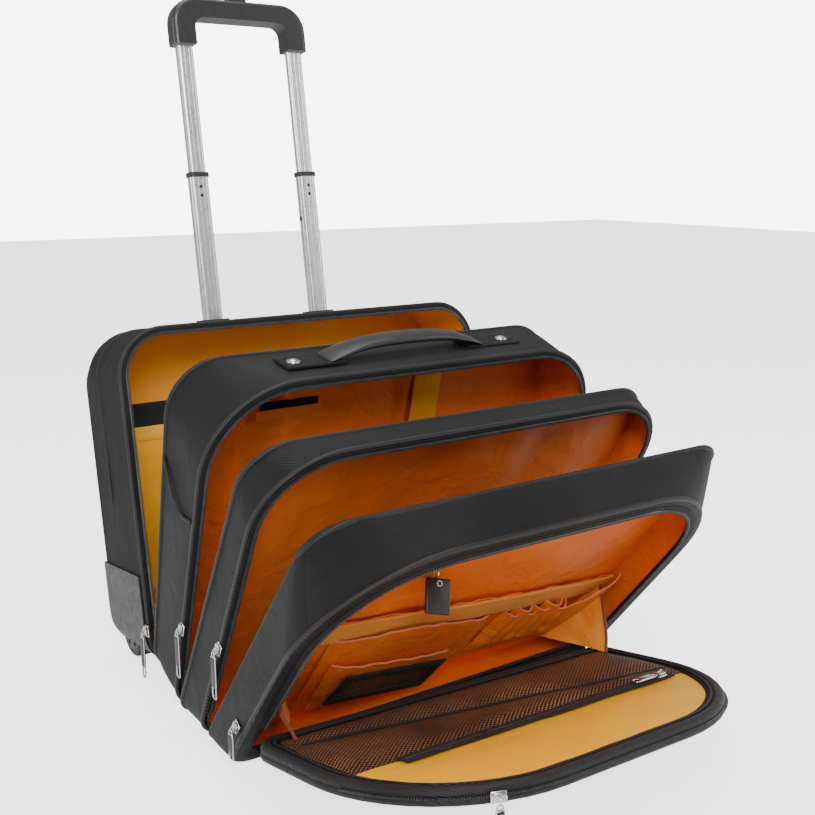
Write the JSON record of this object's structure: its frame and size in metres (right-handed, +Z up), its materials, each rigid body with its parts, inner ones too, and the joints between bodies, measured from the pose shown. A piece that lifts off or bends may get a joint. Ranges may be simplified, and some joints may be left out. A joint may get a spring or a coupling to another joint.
{
  "type": "rolling laptop case",
  "caption": "Soft wheeled laptop case standing open: fanned zip sections, organizer, folded-down front flap, wheels and telescopic trolley handle.",
  "frame": {"origin": "on the floor under the middle of the open case's box", "axes": "+Z up, +X across the case to its right, -Y to the front where the flap lies open"},
  "size_m": [0.4478, 0.6809, 0.7081],
  "materials": {
    "nylon_black": "plain weave",
    "twill_black": "fine diagonal twill",
    "lining_orange": "plain weave lining",
    "lining_padded": "padded lining",
    "zip_black": "satin coil",
    "tube_aluminium": "satin anodised",
    "sleeve_aluminium": "plain",
    "plastic_black": "fine texture",
    "kick_grey": "fine texture",
    "axle_steel": "turned",
    "hub_plastic": "satin",
    "tyre": "matte",
    "grip_rubber": "satin",
    "leatherette": "glossy grained",
    "slider_metal": "polished",
    "pull_dark": "satin",
    "divider_board": "fabric-faced board",
    "mesh_black": "open mesh"
  },
  "bodies": {
    "shell": {"shell_gusset": "nylon_black", "shell_base": "nylon_black", "shell_back": "nylon_black", "shell_lining": "lining_orange", "shell_pocket": "lining_orange", "shell_zip": "zip_black", "handle_sleeves": "sleeve_aluminium", "handle_mounts": "plastic_black", "kick_plates": "kick_grey", "wheel_axles": "axle_steel", "shell_feet": "plastic_black"},
    "wheel_left": {"wheel_left_hub": "hub_plastic", "wheel_left_tyre": "tyre", "wheel_left_bearings": "axle_steel"},
    "wheel_right": {"wheel_right_hub": "hub_plastic", "wheel_right_tyre": "tyre", "wheel_right_bearings": "axle_steel"},
    "handle_lower": {"lower_tubes": "tube_aluminium", "tube_fittings": "plastic_black"},
    "handle_upper": {"upper_tubes": "tube_aluminium", "grip": "grip_rubber"},
    "grip_button": {"grip_button": "plastic_black"},
    "section_a": {"a_gusset": "twill_black", "a_base": "twill_black", "a_divider": "divider_board", "a_lining": "lining_orange", "a_zip": "zip_black", "carry_handle": "leatherette", "handle_fixings": "twill_black"},
    "section_b": {"b_gusset": "twill_black", "b_base": "twill_black", "b_divider": "divider_board", "b_lining": "lining_padded", "b_zip": "zip_black"},
    "section_c": {"c_gusset": "twill_black", "c_base": "twill_black", "c_divider": "divider_board", "c_lining": "lining_orange", "c_border": "twill_black", "c_zip": "zip_black", "c_pocket_panel": "lining_orange", "c_small_pockets": "mesh_black"},
    "flap": {"flap_binding": "twill_black", "flap_panel": "lining_orange", "mesh_pocket": "mesh_black", "flap_zips": "zip_black", "front_slider": "slider_metal", "flap_gussets": "lining_orange"},
    "key_fob": {"key_fob": "leatherette"},
    "shell_slider": {"shell_slider": "slider_metal"},
    "shell_pull": {"shell_pull": "pull_dark"},
    "section_a_slider": {"section_a_slider": "slider_metal"},
    "section_a_pull": {"section_a_pull": "pull_dark"},
    "section_b_slider": {"section_b_slider": "slider_metal"},
    "section_b_pull": {"section_b_pull": "pull_dark"},
    "section_c_slider": {"section_c_slider": "slider_metal"},
    "section_c_pull": {"section_c_pull": "pull_dark"},
    "mesh_slider": {"mesh_slider": "slider_metal"},
    "mesh_pull": {"mesh_pull": "slider_metal"},
    "front_pull": {"front_pull": "slider_metal"}
  },
  "joints": [
    {"name": "section_a_hinge", "type": "hinge", "parent": "shell", "child": "section_a", "pos_m": [0, 0.1015, 0.026], "axis": [-1, 0, 0], "range_deg": [0, 23.3]},
    {"name": "section_b_hinge", "type": "hinge", "parent": "section_a", "child": "section_b", "pos_m": [0, 0.043, 0.004], "axis": [-1, 0, 0], "range_deg": [0, 10.84]},
    {"name": "section_c_hinge", "type": "hinge", "parent": "section_b", "child": "section_c", "pos_m": [0, -0.014, 0], "axis": [-1, 0, 0], "range_deg": [0, 11]},
    {"name": "flap_hinge", "type": "hinge", "parent": "section_c", "child": "flap", "pos_m": [-0.009, -0.111, 0.03], "axis": [-0.9948, -0.0626, 0.0802], "range_deg": [0, 40], "deforming": ["flap_gussets"]},
    {"name": "wheel_left_spin", "type": "hinge", "parent": "shell", "child": "wheel_left", "pos_m": [-0.1995, 0.19541, 0.03], "axis": [1, 0, 0], "continuous": true},
    {"name": "wheel_right_spin", "type": "hinge", "parent": "shell", "child": "wheel_right", "pos_m": [0.1995, 0.19541, 0.03], "axis": [1, 0, 0], "continuous": true},
    {"name": "handle_lower_slide", "type": "slide", "parent": "shell", "child": "handle_lower", "axis": [0, 0.1633, 0.9866], "range_m": [-0.16, 0]},
    {"name": "handle_upper_slide", "type": "slide", "parent": "handle_lower", "child": "handle_upper", "axis": [0, 0.1633, 0.9866], "range_m": [-0.1405, 0]},
    {"name": "grip_button_press", "type": "slide", "parent": "handle_upper", "child": "grip_button", "axis": [0, -0.1633, -0.9866], "range_m": [0, 0.0025], "stiffness_N_per_m": 300},
    {"name": "key_fob_swing", "type": "hinge", "parent": "section_c", "child": "key_fob", "pos_m": [-0.076, -0.18746, 0.19677], "axis": [1, 0, 0], "range_deg": [-30, 20]},
    {"name": "shell_slider_run", "type": "slide", "parent": "shell", "child": "shell_slider", "axis": [0, 0.1633, 0.9866], "range_m": [0, 0.25]},
    {"name": "shell_pull_swing", "type": "hinge", "parent": "shell_slider", "child": "shell_pull", "pos_m": [-0.2269, 0.10787, 0.06158], "axis": [0, 1, 0], "range_deg": [0, 120]},
    {"name": "section_a_slider_run", "type": "slide", "parent": "section_a", "child": "section_a_slider", "axis": [0, -0.3249, 0.9457], "range_m": [-0.06, 0.16]},
    {"name": "section_a_pull_swing", "type": "hinge", "parent": "section_a_slider", "child": "section_a_pull", "pos_m": [-0.2269, 0.01221, 0.09996], "axis": [0, 1, 0], "range_deg": [0, 120]},
    {"name": "section_b_slider_run", "type": "slide", "parent": "section_b", "child": "section_b_slider", "axis": [0, -0.4633, 0.8862], "range_m": [-0.085, 0.13]},
    {"name": "section_b_pull_swing", "type": "hinge", "parent": "section_b_slider", "child": "section_b_pull", "pos_m": [-0.2269, -0.07111, 0.11281], "axis": [0, 1, 0], "range_deg": [0, 120]},
    {"name": "section_c_slider_run", "type": "slide", "parent": "section_c", "child": "section_c_slider", "axis": [0, -0.6239, 0.7815], "range_m": [-0.026, 0.11]},
    {"name": "section_c_pull_swing", "type": "hinge", "parent": "section_c_slider", "child": "section_c_pull", "pos_m": [-0.2269, -0.10155, 0.05388], "axis": [0, 1, 0], "range_deg": [0, 120]},
    {"name": "mesh_slider_run", "type": "slide", "parent": "flap", "child": "mesh_slider", "axis": [0.9948, 0.0626, -0.0802], "range_m": [-0.27, 0]},
    {"name": "mesh_pull_swing", "type": "hinge", "parent": "mesh_slider", "child": "mesh_pull", "pos_m": [0.15071, -0.22683, 0.05038], "axis": [-0.0767, 0.9794, -0.1868], "range_deg": [0, 110]},
    {"name": "front_pull_swing", "type": "hinge", "parent": "flap", "child": "front_pull", "pos_m": [-0.12723, -0.34015, 0.0775], "axis": [1, 0, 0], "range_deg": [-60, 45]}
  ]
}
